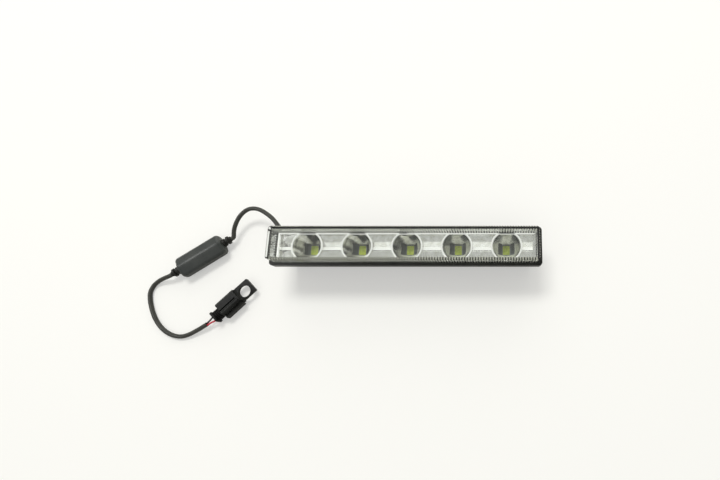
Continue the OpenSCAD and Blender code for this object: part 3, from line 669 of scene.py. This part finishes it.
def driver_ring(inset):
    """The outline of the driver case across its length, moved inwards by inset."""
    side_y = DRIVER_W / 2 - DRIVER_R
    crest_z = DRIVER_T / 2 - CREST_R
    run = side_y + (DRIVER_R - CREST_R) * math.sin(DRIVER_SLOPE)
    drop = (CREST_R - DRIVER_R) * math.cos(DRIVER_SLOPE) - run * math.tan(DRIVER_SLOPE)
    side_z = max(SIDE_Z_MIN, crest_z + drop)
    quarter = []
    for step in range(CREST_STEPS + 1):
        a = DRIVER_SLOPE * step / CREST_STEPS
        quarter.append(((CREST_R - inset) * math.sin(a), crest_z + (CREST_R - inset) * math.cos(a)))
    for step in range(SIDE_STEPS + 1):
        a = DRIVER_SLOPE + (math.pi / 2 - DRIVER_SLOPE) * step / SIDE_STEPS
        quarter.append((side_y + (DRIVER_R - inset) * math.sin(a), side_z + (DRIVER_R - inset) * math.cos(a)))
    lower = [(y, -z) for y, z in reversed(quarter)]
    half = quarter + [(quarter[-1][0] - PARTING_GROOVE, 0)] + lower
    return half + [(-y, z) for y, z in reversed(half[1:-1])]


def make_driver_case(material):
    """The driver case as one soft pillow: the part's outline, rounded at its ends as well."""
    rings = []
    steps = range(PILLOW_STEPS + 1)
    for sx in (-1, 1):
        for step in steps if sx < 0 else reversed(steps):
            a = math.pi / 2 * step / PILLOW_STEPS
            inset = PILLOW_R * (1 - math.sin(a))
            x = sx * (DRIVER_LEN / 2 - PILLOW_R + PILLOW_R * math.cos(a))
            rings.append((x, driver_ring(inset)))
    work = bmesh.new()
    side = Vector((-DRIVER_DIR.y, DRIVER_DIR.x, 0))
    loops = [[work.verts.new((DRIVER_AT + x * DRIVER_DIR + y * side + Vector((0, 0, z))) * MM)
              for y, z in ring] for x, ring in rings]
    count = len(loops[0])
    for one, two in zip(loops, loops[1:]):
        for k in range(count):
            n = (k + 1) % count
            work.faces.new((one[k], one[n], two[n], two[k]))
    work.faces.new(reversed(loops[0]))
    work.faces.new(loops[-1])
    bmesh.ops.recalc_face_normals(work, faces=work.faces)
    mesh = bpy.data.meshes.new("driver_case")
    work.to_mesh(mesh)
    work.free()
    soften(mesh, DRIVER_SOFT_DEG)
    mesh.materials.append(material)
    piece = bpy.data.objects.new("driver_case", mesh)
    bpy.context.scene.collection.objects.link(piece)
    return piece


def smooth_route(points):
    """A dense smooth line through the route's points, in metres."""
    ends = [points[0]] + list(points) + [points[-1]]
    line = []
    for i in range(len(points) - 1):
        p0, p1, p2, p3 = (Vector(p) for p in ends[i:i + 4])
        for step in range(SMOOTH_STEPS):
            t = step / SMOOTH_STEPS
            line.append(0.5 * (2 * p1 + (p2 - p0) * t + (2 * p0 - 5 * p1 + 4 * p2 - p3) * t * t
                               + (3 * p1 - p0 - 3 * p2 + p3) * t ** 3))
    line.append(Vector(points[-1]))
    return [p * MM for p in line]


def curve_tube(name, line, diameter_mm, material):
    data = bpy.data.curves.new(name, "CURVE")
    data.dimensions = "3D"
    data.bevel_depth = diameter_mm / 2 * MM
    data.bevel_resolution = TUBE_STEPS
    data.use_fill_caps = True
    spline = data.splines.new("POLY")
    spline.points.add(len(line) - 1)
    for point, place in zip(spline.points, line):
        point.co = (*place, 1)
    spline.use_smooth = True
    data.materials.append(material)
    tube = bpy.data.objects.new(name, data)
    bpy.context.scene.collection.objects.link(tube)
    return tube


def make_wire(name, sign, bend, materials):
    """One wire from the end of the cord to the connector: sign tells on which side it runs."""
    start = PARTING + sign * WIRE_START * PARTING_SIDE
    end = PLUG_AT - sign * WIRE_Y * PLUG_SIDE
    route = [start, start + WIRE_LEAD_OUT * PARTING_DIR, bend, end - WIRE_LEAD_IN * PLUG_DIR, end]
    wire = curve_tube(name + "_insulation", smooth_route(route), WIRE_D, materials[name])
    stand_in(wire, name, name)
    return wire


def make_cords(materials):
    wires = [make_wire("wire_red", 1, RED_BEND, materials),
             make_wire("wire_black", -1, BLACK_BEND, materials)]
    lamp_line = smooth_route(LAMP_ROUTE)
    plug_line = smooth_route(PLUG_ROUTE)
    lamp_cord = curve_tube("lamp_cord_jacket", lamp_line, CORD_D, materials["cord"])
    plug_cord = curve_tube("plug_cord_jacket", plug_line, CORD_D, materials["cord"])
    for cord, node in ((lamp_cord, "lamp_cord"), (plug_cord, "plug_cord")):
        stand_in(cord, "cord", node)


# Surroundings


def table_top():
    """A pale matt table. The camera sees it a little lifted towards white, and its shadow stays."""
    material = shade("table", TABLE_COLOR, 0.8, specular=0.1)
    tree = material.node_tree
    white = add_node(tree, "Emission")
    white.inputs["Color"].default_value = (1, 1, 1, 1)
    share = calc(tree, "MULTIPLY", ray_kind(tree, "Camera"), TABLE_LIFT)
    show(tree, blend(tree, share, main_shader(material).outputs["BSDF"], white.outputs["Emission"]))
    return material


def make_floor():
    mesh = bpy.data.meshes.new("table")
    corners = [(sx * TABLE_HALF, sy * TABLE_HALF, 0) for sx, sy in ((-1, -1), (1, -1), (1, 1), (-1, 1))]
    mesh.from_pydata(corners, [], [(0, 1, 2, 3)])
    floor = bpy.data.objects.new("table", mesh)
    bpy.context.scene.collection.objects.link(floor)
    mesh.materials.append(table_top())


def area_light(name, place, aim, size, power, diffuse):
    """A soft lamp. One kind lights surfaces and the other only gives highlights on plastic."""
    data = bpy.data.lights.new(name, "AREA")
    data.shape = "RECTANGLE"
    data.size, data.size_y = size
    data.energy = power
    light = bpy.data.objects.new(name, data)
    light.location = place
    light.rotation_euler = (Vector(aim) - Vector(place)).to_track_quat("-Z", "Y").to_euler()
    light.visible_diffuse = diffuse
    light.visible_glossy = not diffuse
    light.visible_transmission = False
    bpy.context.scene.collection.objects.link(light)


def lobe(tree, place, direction, edge, level):
    """A patch of light around a direction, given by the cosines of its soft edge."""
    toward = add_node(tree, "VectorMath", operation="DOT_PRODUCT")
    toward.inputs[1].default_value = direction
    tree.links.new(place, toward.inputs[0])
    return remap(tree, toward.outputs["Value"], *edge, 0.0, level, "SMOOTHSTEP")


def make_room():
    """The light of the room: plain all round, and brighter towards the window beyond the lamp."""
    world = bpy.data.worlds.new("room")
    bpy.context.scene.world = world
    world.use_nodes = True
    tree = world.node_tree
    background = tree.nodes["Background"]
    background.inputs["Color"].default_value = (*ROOM_COLOR, 1)
    place = add_node(tree, "TexCoord").outputs["Generated"]
    patches = calc(tree, "ADD", lobe(tree, place, WINDOW_DIR, WINDOW_EDGE, WINDOW_LEVEL - ROOM_LEVEL),
                   lobe(tree, place, FRONT_DIR, FRONT_EDGE, FRONT_LEVEL))
    tree.links.new(calc(tree, "ADD", patches, ROOM_LEVEL), background.inputs["Strength"])


def make_lights():
    area_light("ceiling_lamp", (-0.22, 0.83, 1.43), (0, 0, 0), (0.75, 0.38), 15.8, True)
    area_light("highlight", (-0.6, 0.15, 0.66), (-0.15, 0, 0), (0.12, 0.3), 2.0, False)
    make_room()


make_camera()
MATERIALS = make_materials()
PIECES = dict(NODES)
dress_nodes(MATERIALS)
# The reflector, with painted highlights on its edges and on the trough
stand_in(make_reflector(MATERIALS["reflector"], painted_edge_highlight()), "reflector", "reflector_bezel")
for name, slot in (("rear_housing", "housing"), ("lens_cover", "lens"), ("outlet_grommet", "grommet"),
                   ("driver_relief_in", "grommet"), ("driver_relief_out", "grommet")):
    PIECES[name] = smooth_copy(name)
    stand_in(PIECES[name], slot, name)
for name, change in (("connector_housing", slim_latch), ("connector_cap", slim_cap)):
    PIECES[name] = reshape(smooth_copy(name), change)
    stand_in(PIECES[name], "connector", name)
# Painted light and shade of the flutes on the lens's inner walls
paint_flute_light(PIECES["lens_cover"].data, flute_light_and_shade())
DRIVER_CASE = make_driver_case(MATERIALS["driver_case"])
stand_in(DRIVER_CASE, "driver_case", "driver_case_upper", "driver_case_lower")
make_cords(MATERIALS)
make_floor()
make_lights()
bpy.context.scene.view_settings.view_transform = "Standard"
